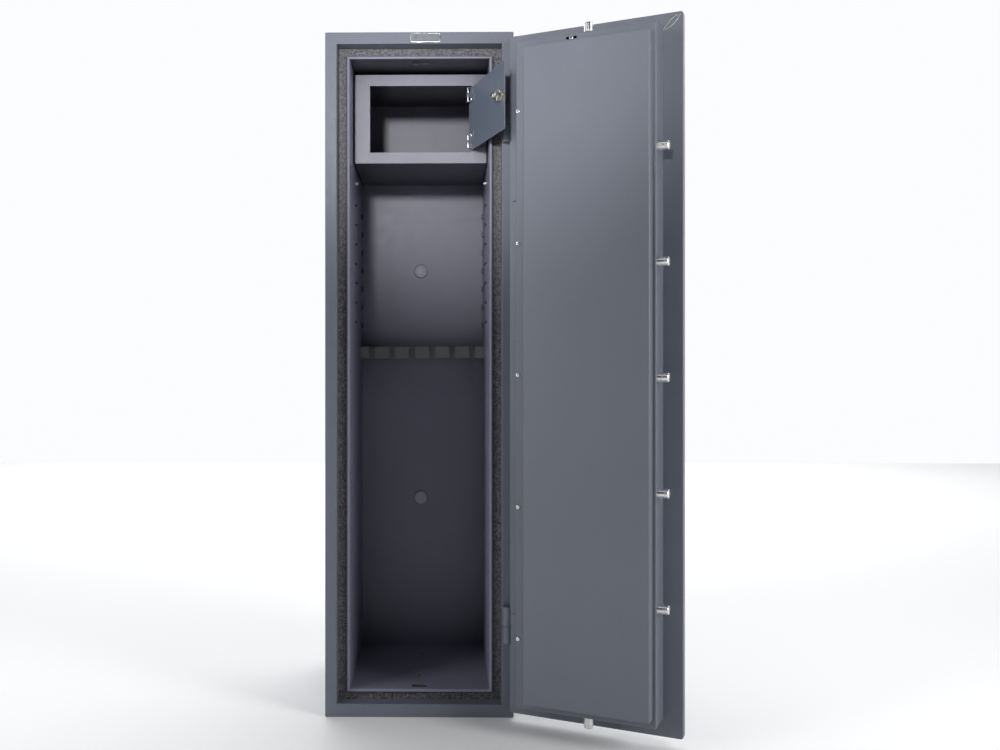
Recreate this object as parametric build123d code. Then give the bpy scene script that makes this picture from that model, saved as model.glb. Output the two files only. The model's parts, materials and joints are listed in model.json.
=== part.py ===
from build123d import *
import math
import os

os.makedirs("parts", exist_ok=True)

# A tall gun safe with its door open, and a small lockable compartment at the top of the inside.
#
# Every sub-part is drawn in plan coordinates, in millimetres: X from the cabinet's left side, Y back
# from the cabinet's front face, Z up from the floor. The doors are drawn shut and then swung open.
# The files are written in the part's own frame: the origin is the middle of the footprint.

# ---- driving dimensions: cabinet ------------------------------------------------------------------
WIDTH = 450.0
DEPTH = 460.0
HEIGHT = 1635.0
CORNER_RADIUS = 3.0
SHELL_SHEET = 3.0
BAND_THICKNESS = 5.0
LINER_SHEET = 2.0
LIP_WIDTH = 9.0
LIP_FRONT = 29.0
REBATE_FACE = 37.4
REBATE_SHEET = 3.0
BACK_WALL = 415.7

# Rectangles seen from the front: left, right, bottom, top.
OUTLINE = (0.0, WIDTH, 0.0, HEIGHT)
MOUTH = (27.8, 422.2, 31.4, 1607.2)
LINER = (56.3, 393.7, 57.6, 1579.0)

# ---- driving dimensions: door ---------------------------------------------------------------------
HINGE_AXIS = (435.5, -10.0)
DOOR_OPEN = 155.6
LEAF = (24.0, 428.0, 20.0, 1615.0)
LEAF_FRONT = -21.5
LEAF_BACK = -1.5
LEAF_PLATE = 4.0
LEAF_CORNER = 7.0
BORDER_SHEET = 3.0
HOUSING = (68.0, 386.5, 59.5, 1577.0)
HOUSING_BACK = 69.5
HOUSING_SHEET = 2.0
COVER = (76.0, 360.1, 78.3, 1554.3)
COVER_BACK = 97.5
COVER_SHEET = 1.5
FILL_BACK = 25.0
MECHANISM_FACE = 28.0

# ---- driving dimensions: boltwork -----------------------------------------------------------------
BOLT_LINE = 56.5
BOLT_RADIUS = 10.25
BOLT_CLEARANCE = 0.5
BOLT_TIP = 43.0
LOWEST_BOLT = 315.0
BOLT_PITCH = 249.0
BOLT_COUNT = 5
ROD_BOLT_X = 220.0
TOP_BOLT_TIP = 1599.0
BOTTOM_BOLT_TIP = 36.0
ROD_BOLT_LENGTH = 130.0
ROD_LAYER = (52.5, 56.5)
CARRIER_LAYER = (60.5, 64.5)
SPINDLE = (170.0, 830.0)
SPINDLE_RADIUS = 8.0
CAM_PIN_CIRCLE = 17.0
CAM_PIN_RADIUS = 4.0
KEYHOLE = (170.0, 700.0)
RUNNING_FIT = 0.05

# ---- driving dimensions: hinges -------------------------------------------------------------------
KNUCKLE_RADIUS = 13.0
KNUCKLE_RELIEF = 13.6
KNUCKLE_LENGTH = 87.0
KNUCKLE_SPLIT = 41.0
HINGE_BOTTOMS = (181.0, 1369.0)
WASHER_THICKNESS = 1.0
WASHER_GAP = 0.3
WASHER_RADIUS = 9.7
HINGE_PIN_RADIUS = 6.0
HINGE_PIN_SEAT = 6.0
HINGE_PIN_SHORT = 10.0

# ---- driving dimensions: inner compartment --------------------------------------------------------
TREASURY = (60.2, 391.0, 1346.0, 1569.0)
TREASURY_WINDOW = (98.5, 354.5, 1373.6, 1540.7)
TREASURY_FRONT = 118.0
TREASURY_PLATE = 2.0
TREASURY_SHEET = 1.5
TREASURY_BACK = 414.0
TREASURY_AXIS = (345.0, 124.0)
TREASURY_OPEN = 107.4
TREASURY_DOOR = (103.0, 350.0, 1378.0, 1534.5)
TREASURY_HINGE_HEIGHTS = (1402.0, 1519.0)
TREASURY_LOCK = (127.0, 1459.5)

# ---- driving dimensions: barrel rack --------------------------------------------------------------
RACK_FRONT = 340.0
RACK_LEVELS = (861.0, 892.0)
RACK_NOTCHES = 6
RACK_PITCH = 55.0
RACK_NOTCH_RADIUS = 8.5
RACK_NOTCH_DEPTH = 31.0


# ---- shapes ---------------------------------------------------------------------------------------
def block(x, y, z):
    """A box between two X, two Y and two Z values."""
    box = Box(x[1] - x[0], y[1] - y[0], z[1] - z[0], align=(Align.MIN, Align.MIN, Align.MIN))
    return Pos(x[0], y[0], z[0]) * box


def rod(axis, centre, span, radius):
    """A round bar along X, Y or Z; centre is its place on the other two axes, in order."""
    bar = Cylinder(radius, span[1] - span[0], align=(Align.CENTER, Align.CENTER, Align.MIN))
    if axis == "X":
        return Pos(span[0], centre[0], centre[1]) * Rot(0, 90, 0) * bar
    if axis == "Y":
        return Pos(centre[0], span[1], centre[1]) * Rot(90, 0, 0) * bar
    return Pos(centre[0], centre[1], span[0]) * bar


def long_hole(axis, centre, span, overall, width, along):
    """A round-ended slot cut along an axis; along says which of centre's two directions it runs in."""
    reach = (overall - width) / 2
    sides = [(c - width / 2, c + width / 2) for c in centre]
    sides[along] = (centre[along] - reach, centre[along] + reach)
    if axis == "X":
        shape = block(span, sides[0], sides[1])
    elif axis == "Y":
        shape = block(sides[0], span, sides[1])
    else:
        shape = block(sides[0], sides[1], span)
    for sign in (-1, 1):
        end = list(centre)
        end[along] += sign * reach
        shape += rod(axis, end, span, width / 2)
    return shape


def grown(rect, by):
    """A rectangle grown on all four sides."""
    return (rect[0] - by, rect[1] + by, rect[2] - by, rect[3] + by)


def slab(rect, y):
    """A box on a rectangle seen from the front."""
    return block((rect[0], rect[1]), y, (rect[2], rect[3]))


def rounded_slab(rect, y, radius):
    """A slab whose four corners, seen from the front, are rounded."""
    outline = RectangleRounded(rect[1] - rect[0], rect[3] - rect[2], radius)
    middle = ((rect[0] + rect[1]) / 2, y[1], (rect[2] + rect[3]) / 2)
    return Pos(*middle) * Rot(90, 0, 0) * extrude(outline, amount=y[1] - y[0])


def mitred_frame(outer, inner, y):
    """Left, right, top and bottom prisms that meet on mitres between two rectangles."""
    ox0, ox1, oz0, oz1 = outer
    ix0, ix1, iz0, iz1 = inner
    quads = (
        ((ox0, oz0), (ox0, oz1), (ix0, iz1), (ix0, iz0)),
        ((ox1, oz0), (ox1, oz1), (ix1, iz1), (ix1, iz0)),
        ((ox0, oz1), (ox1, oz1), (ix1, iz1), (ix0, iz1)),
        ((ox0, oz0), (ox1, oz0), (ix1, iz0), (ix0, iz0)),
    )
    sides = []
    for quad in quads:
        outline = Polyline(*[(px, y[0], pz) for px, pz in quad], close=True)
        sides.append(extrude(make_face(outline), amount=y[1] - y[0], dir=(0, 1, 0)))
    return sides


def edges_in_plane(shape, y):
    """The edges whose both ends lie at one Y."""
    found = [e for e in shape.edges() if all(abs(v.Y - y) < 0.01 for v in e.vertices())]
    return ShapeList(found)


def edges_along_y(shape):
    """The straight edges that run from front to back."""
    return shape.edges().filter_by(Axis.Y)


def split(shape, outer, inner, y):
    """Cut a folded ring into its four sides on the corner mitres."""
    return [shape & side for side in mitred_frame(outer, inner, y)]


def screw(axis_sign, place, head_y, head, shank):
    """A pan-head screw along Y: head is (radius, height), shank is (radius, length)."""
    x, z = place
    head_span = sorted((head_y, head_y + axis_sign * head[1]))
    top = rod("Y", (x, z), head_span, head[0])
    top = fillet(edges_in_plane(top, head_y + axis_sign * head[1]), head[1] * 0.45)
    recess_floor = head_y + axis_sign * head[1] * 0.45
    tip = head_y + axis_sign * (head[1] + 1)
    recess_span = sorted((recess_floor, tip))
    wide, thin = head[0] * 0.55, head[0] * 0.14
    cross = block((x - wide, x + wide), recess_span, (z - thin, z + thin))
    cross += block((x - thin, x + thin), recess_span, (z - wide, z + wide))
    shank_span = sorted((head_y, head_y - axis_sign * shank[1]))
    return top - cross + rod("Y", (x, z), shank_span, shank[0])


# ---- placing and writing --------------------------------------------------------------------------
CENTRED = Pos(-WIDTH / 2, -DEPTH / 2, 0)


def swung(axis, angle):
    """The placement that turns a shut door open about its vertical hinge axis."""
    return CENTRED * Pos(axis[0], axis[1], 0) * Rot(0, 0, angle) * Pos(-axis[0], -axis[1], 0)


ON_CABINET = CENTRED
ON_DOOR = swung(HINGE_AXIS, DOOR_OPEN)
ON_TREASURY_DOOR = swung(TREASURY_AXIS, TREASURY_OPEN)


def solids_of(shape):
    """The solids of a shape, of a list of shapes, or of what a cut returns."""
    if isinstance(shape, (list, tuple)):
        return [s for item in shape for s in solids_of(item)]
    return list(shape.solids())


def write(name, shapes, placement):
    """Write one node, with its solids in their place."""
    placed = [placement * s for s in solids_of(shapes)]
    whole = placed[0] if len(placed) == 1 else Compound(children=placed)
    export_step(whole, f"parts/{name}.step")


# ---- places that several sub-parts share ----------------------------------------------------------
BOLT_HEIGHTS = [LOWEST_BOLT + BOLT_PITCH * i for i in range(BOLT_COUNT)]
SLOT_LONG = 36.0
SLOT_WIDE = 23.0
ROD_SLOT_X = WIDTH / 2
ROD_SLOT_LONG = 40.0
HOLE_COLUMN_Y = 186.0
HOLE_COLUMN_RADIUS = 2.0
FRONT_SLOT = 4.2
BACK_COLUMN_Y = 374.0
BACK_SLOT = 12.0
PLUG_RIM = 1.0
PLUG_HEIGHT = 5.0
COLUMN_HEIGHTS = [952.0 + 50.0 * i for i in range(7)]
ANCHOR_CAP_X = 220.0
ANCHOR_CAP_HEIGHTS = (470.0, 1105.0)
ANCHOR_HOLE_RADIUS = 6.0
FLOOR_ANCHOR_X = WIDTH / 2
FLOOR_ANCHOR_Y = (DEPTH / 2 - 90.0, DEPTH / 2 + 90.0)
FLOOR_ANCHOR_RADIUS = 7.0
KEEPER_WALL = 1.5
KEEPER_HALF = (13.0, 20.0)
ROD_KEEPER_HALF = 22.0
RACK_SCREW_X = (70.0, 170.0, 280.0, 380.0)
RACK_SCREW_Z = 875.0
RACK_SCREW_RADIUS = 2.5
FIXING_RADIUS = 3.0
FIXING_PLACES = [(y, z) for y in (180.0, 350.0) for z in (1400.0, 1515.0)]
THROUGH = 50.0


def hinge_cutter(bottom, top, radius):
    """The round room that a knuckle takes out of the piece beside it."""
    return rod("Z", HINGE_AXIS, (bottom, top), radius)


def lower_knuckle_span(bottom):
    return (bottom, bottom + KNUCKLE_SPLIT)


def upper_knuckle_span(bottom):
    start = bottom + KNUCKLE_SPLIT + WASHER_THICKNESS + WASHER_GAP
    return (start, bottom + KNUCKLE_LENGTH)


# ---- cabinet: shell, frame, liner -----------------------------------------------------------------
def outer_shell():
    y = (BAND_THICKNESS, DEPTH - SHELL_SHEET)
    rounding = rounded_slab(OUTLINE, y, CORNER_RADIUS)
    sides = [side & rounding for side in mitred_frame(OUTLINE, grown(OUTLINE, -SHELL_SHEET), y)]
    anchors = [rod("Z", (FLOOR_ANCHOR_X, ay), (-1, SHELL_SHEET + 1), FLOOR_ANCHOR_RADIUS)
               for ay in FLOOR_ANCHOR_Y]
    sides[3] = sides[3] - anchors
    return sides


def rear_panel():
    panel = rounded_slab(OUTLINE, (DEPTH - SHELL_SHEET, DEPTH), CORNER_RADIUS)
    return fillet(edges_in_plane(panel, DEPTH), 1.5)


def front_frame():
    y = (0.0, BAND_THICKNESS)
    band = rounded_slab(OUTLINE, y, CORNER_RADIUS) - slab(MOUTH, (-1, BAND_THICKNESS + 1))
    band = fillet(edges_in_plane(band, 0.0), 1.6)
    for bottom in HINGE_BOTTOMS:
        start, end = upper_knuckle_span(bottom)
        band -= hinge_cutter(start - 0.6, end + 0.6, KNUCKLE_RELIEF)
    wall = mitred_frame(grown(MOUTH, SHELL_SHEET), MOUTH, (BAND_THICKNESS, REBATE_FACE))
    return split(band, OUTLINE, MOUTH, y) + wall


def rebate_ring():
    y = (REBATE_FACE, REBATE_FACE + REBATE_SHEET)
    return mitred_frame(grown(MOUTH, SHELL_SHEET), grown(LINER, LINER_SHEET), y)


def mouth_lip():
    y = (LIP_FRONT, REBATE_FACE)
    outer = grown(LINER, LIP_WIDTH)
    roll = slab(outer, y) - slab(LINER, (LIP_FRONT - 1, REBATE_FACE + 1))
    roll = fillet(edges_in_plane(roll, LIP_FRONT), LIP_WIDTH / 2 - 0.2)
    hollow_y = (LIP_FRONT + LINER_SHEET, REBATE_FACE + 1)
    hollow = slab(grown(outer, -LINER_SHEET), hollow_y)
    hollow -= slab(grown(LINER, LINER_SHEET), (LIP_FRONT, REBATE_FACE + 2))
    hollow = fillet(edges_in_plane(hollow, LIP_FRONT + LINER_SHEET), LIP_WIDTH / 2 - LINER_SHEET - 0.2)
    return split(roll - hollow, outer, LINER, y)


def side_wall_holes(span):
    """The two columns of fixing holes in a liner side wall."""
    holes = []
    for z in COLUMN_HEIGHTS:
        for y, long in ((HOLE_COLUMN_Y, FRONT_SLOT), (BACK_COLUMN_Y, BACK_SLOT)):
            holes.append(long_hole("X", (y, z), span, long, 2 * HOLE_COLUMN_RADIUS, 1))
    for y, z in FIXING_PLACES:
        holes.append(rod("X", (y, z), span, FIXING_RADIUS))
    return holes


def inner_liner():
    x0, x1, z0, z1 = LINER
    t = LINER_SHEET
    y = (REBATE_FACE, BACK_WALL)
    left_span = (x0 - t - 1, x0 + 1)
    left = block((x0 - t, x0), y, (z0 - t, z1 + t)) - side_wall_holes(left_span)
    left -= [long_hole("X", (BOLT_LINE, z), left_span, SLOT_LONG, SLOT_WIDE, 1) for z in BOLT_HEIGHTS]
    right = block((x1, x1 + t), y, (z0 - t, z1 + t)) - side_wall_holes((x1 - 1, x1 + t + 1))
    rod_slot = (ROD_SLOT_X, BOLT_LINE)
    ceiling = block((x0, x1), y, (z1, z1 + t))
    ceiling -= long_hole("Z", rod_slot, (z1 - 1, z1 + t + 1), ROD_SLOT_LONG, SLOT_WIDE, 0)
    floor = block((x0, x1), y, (z0 - t, z0))
    floor -= long_hole("Z", rod_slot, (z0 - t - 1, z0 + 1), ROD_SLOT_LONG, SLOT_WIDE, 0)
    floor -= [rod("Z", (FLOOR_ANCHOR_X, ay), (z0 - t - 1, z0 + 1), FLOOR_ANCHOR_RADIUS)
              for ay in FLOOR_ANCHOR_Y]
    back = slab(grown(LINER, t), (BACK_WALL, BACK_WALL + t))
    back_span = (BACK_WALL - 1, BACK_WALL + t + 1)
    back -= [rod("Y", (ANCHOR_CAP_X, z), back_span, ANCHOR_HOLE_RADIUS) for z in ANCHOR_CAP_HEIGHTS]
    back -= [rod("Y", (x, RACK_SCREW_Z), back_span, RACK_SCREW_RADIUS) for x in RACK_SCREW_X]
    return [left, right, ceiling, floor, back]


# ---- cabinet: fill and keepers --------------------------------------------------------------------
LINER_BACKS = grown(LINER, LINER_SHEET)
SIDE_KEEPER_X = (BOLT_TIP - 2.0 - KEEPER_WALL, LINER_BACKS[0])
TOP_KEEPER_Z = (LINER_BACKS[3], TOP_BOLT_TIP + 2.0 + KEEPER_WALL)
BOTTOM_KEEPER_Z = (BOTTOM_BOLT_TIP - 2.0 - KEEPER_WALL, LINER_BACKS[2])
KEEPER_Y = (BOLT_LINE - KEEPER_HALF[0], BOLT_LINE + KEEPER_HALF[0])
KEEPER_X = (ROD_SLOT_X - ROD_KEEPER_HALF, ROD_SLOT_X + ROD_KEEPER_HALF)


def shrunk(span, by):
    """A span with both ends drawn in."""
    return (span[0] + by, span[1] - by)


def bolt_keepers():
    """Steel boxes behind the liner that catch the thrown bolts."""
    keepers = []
    for z in BOLT_HEIGHTS:
        z_span = (z - KEEPER_HALF[1], z + KEEPER_HALF[1])
        hollow_x = (SIDE_KEEPER_X[0] + KEEPER_WALL, SIDE_KEEPER_X[1] + 1)
        hollow = block(hollow_x, shrunk(KEEPER_Y, KEEPER_WALL), shrunk(z_span, KEEPER_WALL))
        keepers.append(block(SIDE_KEEPER_X, KEEPER_Y, z_span) - hollow)
    hollow_xy = (shrunk(KEEPER_X, KEEPER_WALL), shrunk(KEEPER_Y, KEEPER_WALL))
    top_hollow = block(*hollow_xy, (TOP_KEEPER_Z[0] - 1, TOP_KEEPER_Z[1] - KEEPER_WALL))
    bottom_hollow = block(*hollow_xy, (BOTTOM_KEEPER_Z[0] + KEEPER_WALL, BOTTOM_KEEPER_Z[1] + 1))
    keepers.append(block(KEEPER_X, KEEPER_Y, TOP_KEEPER_Z) - top_hollow)
    keepers.append(block(KEEPER_X, KEEPER_Y, BOTTOM_KEEPER_Z) - bottom_hollow)
    return keepers


def fill_slabs():
    """The cast slabs between shell and liner, by node name."""
    y = (REBATE_FACE + REBATE_SHEET, DEPTH - SHELL_SHEET)
    inside = grown(OUTLINE, -SHELL_SHEET)
    x0, x1, z0, z1 = LINER_BACKS
    left = block((inside[0], x0), y, (inside[2], inside[3]))
    for z in BOLT_HEIGHTS:
        left -= block(SIDE_KEEPER_X, KEEPER_Y, (z - KEEPER_HALF[1], z + KEEPER_HALF[1]))
    right = block((x1, inside[1]), y, (inside[2], inside[3]))
    top = block((x0, x1), y, (z1, inside[3])) - block(KEEPER_X, KEEPER_Y, TOP_KEEPER_Z)
    bottom = block((x0, x1), y, (inside[2], z0)) - block(KEEPER_X, KEEPER_Y, BOTTOM_KEEPER_Z)
    bottom -= [rod("Z", (FLOOR_ANCHOR_X, ay), (0, z0 + 1), FLOOR_ANCHOR_RADIUS) for ay in FLOOR_ANCHOR_Y]
    rear = block((x0, x1), (BACK_WALL + LINER_SHEET, y[1]), (z0, z1))
    return {"fill_left": left, "fill_right": right, "fill_top": top, "fill_bottom": bottom,
            "fill_rear": rear}


# ---- cabinet: fittings ----------------------------------------------------------------------------
def notch_centres():
    span = RACK_PITCH * (RACK_NOTCHES - 1)
    middle = (LINER[0] + LINER[1]) / 2
    return [middle - span / 2 + RACK_PITCH * i for i in range(RACK_NOTCHES)]


def barrel_rack():
    """A folded steel shelf: teeth with a front lip, a strip behind them, and a flange on the wall."""
    low, high = RACK_LEVELS
    t = LINER_SHEET
    notch_end = RACK_FRONT + RACK_NOTCH_DEPTH
    edges = [LINER[0]]
    for x in notch_centres():
        edges += [x - RACK_NOTCH_RADIUS, x + RACK_NOTCH_RADIUS]
    edges.append(LINER[1])
    pieces = []
    for x0, x1 in zip(edges[0::2], edges[1::2]):
        tooth = block((x0, x1), (RACK_FRONT, notch_end), (high - t, high))
        tooth += block((x0, x1), (RACK_FRONT, RACK_FRONT + t), (low, high))
        front_fold = [e for e in edges_in_plane(tooth, RACK_FRONT) if abs(e.center().Z - high) < 0.01]
        pieces.append(fillet(ShapeList(front_fold), t * 0.9))
    strip = block((LINER[0], LINER[1]), (notch_end, BACK_WALL), (high - t, high))
    for x in notch_centres():
        strip -= rod("Z", (x, notch_end), (low, high + 1), RACK_NOTCH_RADIUS)
    flange = block((LINER[0], LINER[1]), (BACK_WALL - t, BACK_WALL), (low, high - t))
    flange -= [rod("Y", (x, RACK_SCREW_Z), (BACK_WALL - t - 1, BACK_WALL + 1), RACK_SCREW_RADIUS)
               for x in RACK_SCREW_X]
    return pieces + [strip, flange]


def rack_screws():
    head_y = BACK_WALL - LINER_SHEET
    shank = (RACK_SCREW_RADIUS, 2 * LINER_SHEET)
    return [screw(-1, (x, RACK_SCREW_Z), head_y, (4.5, 3.0), shank) for x in RACK_SCREW_X]


def anchor_caps():
    caps = []
    for z in ANCHOR_CAP_HEIGHTS:
        disc = rod("Y", (ANCHOR_CAP_X, z), (BACK_WALL - 5.0, BACK_WALL), 19.0)
        disc = fillet(edges_in_plane(disc, BACK_WALL - 5.0), 4.0)
        caps.append(disc + rod("Y", (ANCHOR_CAP_X, z), (BACK_WALL, BACK_WALL + LINER_SHEET),
                               ANCHOR_HOLE_RADIUS))
    return caps


def plug(wall, sign, place, length):
    """A moulded plug: its head stands into the cabinet, its shank fills the hole or slot."""
    tip_x = wall + sign * PLUG_HEIGHT
    width = 2 * (HOLE_COLUMN_RADIUS + PLUG_RIM)
    head = long_hole("X", place, sorted((wall, tip_x)), length + 2 * PLUG_RIM, width, 1)
    tip = [e for e in head.edges() if all(abs(v.X - tip_x) < 0.01 for v in e.vertices())]
    head = fillet(ShapeList(tip), PLUG_RIM)
    shank_span = sorted((wall, wall - sign * LINER_SHEET))
    return head + long_hole("X", place, shank_span, length, 2 * HOLE_COLUMN_RADIUS, 1)


def hole_plugs():
    """Black plugs in the two columns of shelf holes of each side wall."""
    plugs = []
    for wall, sign in ((LINER[0], 1), (LINER[1], -1)):
        for z in COLUMN_HEIGHTS:
            plugs.append(plug(wall, sign, (HOLE_COLUMN_Y, z), FRONT_SLOT))
            plugs.append(plug(wall, sign, (BACK_COLUMN_Y, z), BACK_SLOT))
    return plugs


BADGE = (205.0, 274.0, 1611.5, 1631.0)
BADGE_FRONT = -1.2


def badge_plate():
    plate = rounded_slab(BADGE, (BADGE_FRONT, 0.0), 3.0)
    return fillet(edges_in_plane(plate, BADGE_FRONT), 0.5)


# ---- cabinet: inner compartment -------------------------------------------------------------------
def treasury_shell():
    """Floor, roof, sides and back of the compartment, spot welded together."""
    x0, x1, z0, z1 = TREASURY
    t = TREASURY_SHEET
    y = (TREASURY_FRONT + TREASURY_PLATE, TREASURY_BACK)
    left = block((x0, x0 + t), y, (z0, z1))
    left -= [rod("X", p, (x0 - 1, x0 + t + 1), FIXING_RADIUS) for p in FIXING_PLACES]
    right = block((x1 - t, x1), y, (z0, z1))
    right -= [rod("X", p, (x1 - t - 1, x1 + 1), FIXING_RADIUS) for p in FIXING_PLACES]
    floor = block((x0 + t, x1 - t), y, (z0, z0 + t))
    roof = block((x0 + t, x1 - t), y, (z1 - t, z1))
    back = block((x0 + t, x1 - t), (TREASURY_BACK - t, TREASURY_BACK), (z0 + t, z1 - t))
    return [left, right, floor, roof, back]


CATCH_DEPTH = 14.5


def treasury_front():
    """The flanged front, in four strips round the window, and the lip that the cam catches behind."""
    y = (TREASURY_FRONT, TREASURY_FRONT + TREASURY_PLATE)
    plate = fillet(edges_in_plane(slab(TREASURY, y), TREASURY_FRONT), 1.2)
    left, right, low, high = TREASURY
    x0, x1, z0, z1 = TREASURY_WINDOW
    sides = ((left, x0, low, high), (x1, right, low, high), (x0, x1, z1, high), (x0, x1, low, z0))
    catch_lip = block((x0 - TREASURY_PLATE, x0), (y[1], y[1] + CATCH_DEPTH), (z0, z1))
    return [plate & slab(side, y) for side in sides] + [catch_lip]


SUPPORT_HEIGHT = 1309.0


def support_pin(wall, sign):
    """A stub pin in a side wall, under the compartment."""
    tip_x = wall + sign * 8.0
    pin = rod("X", (HOLE_COLUMN_Y, SUPPORT_HEIGHT), sorted((wall, tip_x)), 5.0)
    tip = [e for e in pin.edges() if abs(e.center().X - tip_x) < 0.01]
    return fillet(ShapeList(tip), 1.5)


def treasury_fixings():
    """Screws and spacers that hold the compartment to the liner's side walls, and its two pins."""
    pieces = [support_pin(LINER[0], 1), support_pin(LINER[1], -1)]
    t = TREASURY_SHEET
    for y, z in FIXING_PLACES:
        for inner, outer, sign in ((TREASURY[0], LINER[0], 1), (TREASURY[1], LINER[1], -1)):
            bed = inner + sign * t
            head = rod("X", (y, z), sorted((bed, bed + sign * 3.0)), 5.5)
            shank = rod("X", (y, z), sorted((bed, outer - sign * LINER_SHEET)), FIXING_RADIUS)
            spacer = rod("X", (y, z), sorted((inner, outer)), 6.0)
            pieces += [head + shank, spacer - rod("X", (y, z), sorted((inner, outer)), FIXING_RADIUS)]
    return pieces


TREASURY_PIN_RADIUS = 2.5
TREASURY_PIN_HALF = 18.0
EAR_THICKNESS = 2.0
EAR_RADIUS = 4.5
BRACKET_BASE_X = (357.0, 367.0)


def treasury_hinge_brackets():
    """U brackets behind the right flange; their ears hold the small hinge pins."""
    ax, ay = TREASURY_AXIS
    flange = TREASURY_FRONT + TREASURY_PLATE
    pieces = []
    for z in TREASURY_HINGE_HEIGHTS:
        whole = (z - TREASURY_PIN_HALF, z + TREASURY_PIN_HALF)
        base = block(BRACKET_BASE_X, (flange, flange + EAR_THICKNESS), whole)
        for start in (z - TREASURY_PIN_HALF, z + TREASURY_PIN_HALF - EAR_THICKNESS):
            span = (start, start + EAR_THICKNESS)
            base += block((ax, BRACKET_BASE_X[1]), (flange, ay + EAR_RADIUS), span)
            base += rod("Z", TREASURY_AXIS, span, EAR_RADIUS) & block((ax - 5, ax), (flange, ay + 5), span)
            base -= rod("Z", TREASURY_AXIS, span, TREASURY_PIN_RADIUS)
        pieces.append(base)
    return pieces


def treasury_hinge_pins():
    pins = []
    for z in TREASURY_HINGE_HEIGHTS:
        pins.append(rod("Z", TREASURY_AXIS, (z - TREASURY_PIN_HALF, z + TREASURY_PIN_HALF),
                        TREASURY_PIN_RADIUS))
    return pins


# ---- cabinet: main hinges -------------------------------------------------------------------------
def hinge_knuckles_lower():
    """Knuckles welded to the frame: flat where they sit on its face, bored for the pin."""
    knuckles = []
    for bottom in HINGE_BOTTOMS:
        span = lower_knuckle_span(bottom)
        knuckle = rod("Z", HINGE_AXIS, span, KNUCKLE_RADIUS)
        low_edge = [e for e in knuckle.edges() if abs(e.center().Z - bottom) < 0.01]
        knuckle = fillet(ShapeList(low_edge), 1.5)
        knuckle -= block((400, 500), (0.0, THROUGH), (bottom - 1, bottom + KNUCKLE_LENGTH))
        knuckle -= rod("Z", HINGE_AXIS, (bottom + HINGE_PIN_SEAT, span[1] + 1), HINGE_PIN_RADIUS)
        knuckles.append(knuckle)
    return knuckles


def hinge_pins():
    pins = []
    for bottom in HINGE_BOTTOMS:
        span = (bottom + HINGE_PIN_SEAT, bottom + KNUCKLE_LENGTH - HINGE_PIN_SHORT)
        pins.append(rod("Z", HINGE_AXIS, span, HINGE_PIN_RADIUS))
    return pins


def hinge_washers():
    washers = []
    for bottom in HINGE_BOTTOMS:
        start = bottom + KNUCKLE_SPLIT
        span = (start, start + WASHER_THICKNESS)
        bore = rod("Z", HINGE_AXIS, span, HINGE_PIN_RADIUS)
        washers.append(rod("Z", HINGE_AXIS, span, WASHER_RADIUS) - bore)
    return washers


# ---- door -----------------------------------------------------------------------------------------
def clear_of_knuckles(shape):
    """Take room for the frame's knuckles, and a seat for the door's own ones, out of the leaf."""
    for bottom in HINGE_BOTTOMS:
        low = lower_knuckle_span(bottom)
        high = upper_knuckle_span(bottom)
        shape -= hinge_cutter(low[0] - 0.6, high[0], KNUCKLE_RELIEF)
        shape -= hinge_cutter(high[0], high[1], KNUCKLE_RADIUS)
    return shape


def door_plate():
    y = (LEAF_FRONT, LEAF_FRONT + LEAF_PLATE)
    plate = fillet(edges_in_plane(rounded_slab(LEAF, y, LEAF_CORNER), LEAF_FRONT), 1.5)
    plate -= rod("Y", SPINDLE, (y[0] - 1, y[1] + 1), SPINDLE_RADIUS + 1)
    plate -= rod("Y", KEYHOLE, (y[0] - 1, y[1] + 1), 5.0)
    return clear_of_knuckles(plate)


def door_border():
    """The folded edge of the leaf and its return flange, mitred at the corners."""
    y = (LEAF_FRONT + LEAF_PLATE, LEAF_BACK)
    inside = grown(LEAF, -BORDER_SHEET)
    edge = fillet(edges_in_plane(rounded_slab(LEAF, y, LEAF_CORNER), LEAF_BACK), 2.2)
    edge -= slab(inside, (y[0] - 1, y[1] + 1))
    flange_y = (LEAF_BACK - BORDER_SHEET, LEAF_BACK)
    pieces = split(edge, LEAF, inside, y) + mitred_frame(inside, HOUSING, flange_y)
    return [clear_of_knuckles(piece) for piece in pieces]


def door_fill():
    """The cast slab inside the leaf, and the thicker one inside the housing."""
    wide_y = (LEAF_FRONT + LEAF_PLATE, LEAF_BACK - BORDER_SHEET)
    wide = clear_of_knuckles(slab(grown(LEAF, -BORDER_SHEET), wide_y))
    deep = slab(grown(HOUSING, -HOUSING_SHEET), (wide_y[1], FILL_BACK))
    holes = [rod("Y", SPINDLE, (LEAF_FRONT, THROUGH), SPINDLE_RADIUS + 2),
             rod("Y", KEYHOLE, (LEAF_FRONT, THROUGH), 5.0)]
    return [wide - holes, deep - holes]


def rod_bolt_hole(z, radius):
    return rod("Z", (ROD_BOLT_X, BOLT_LINE), (z - 5, z + 5), radius)


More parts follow.
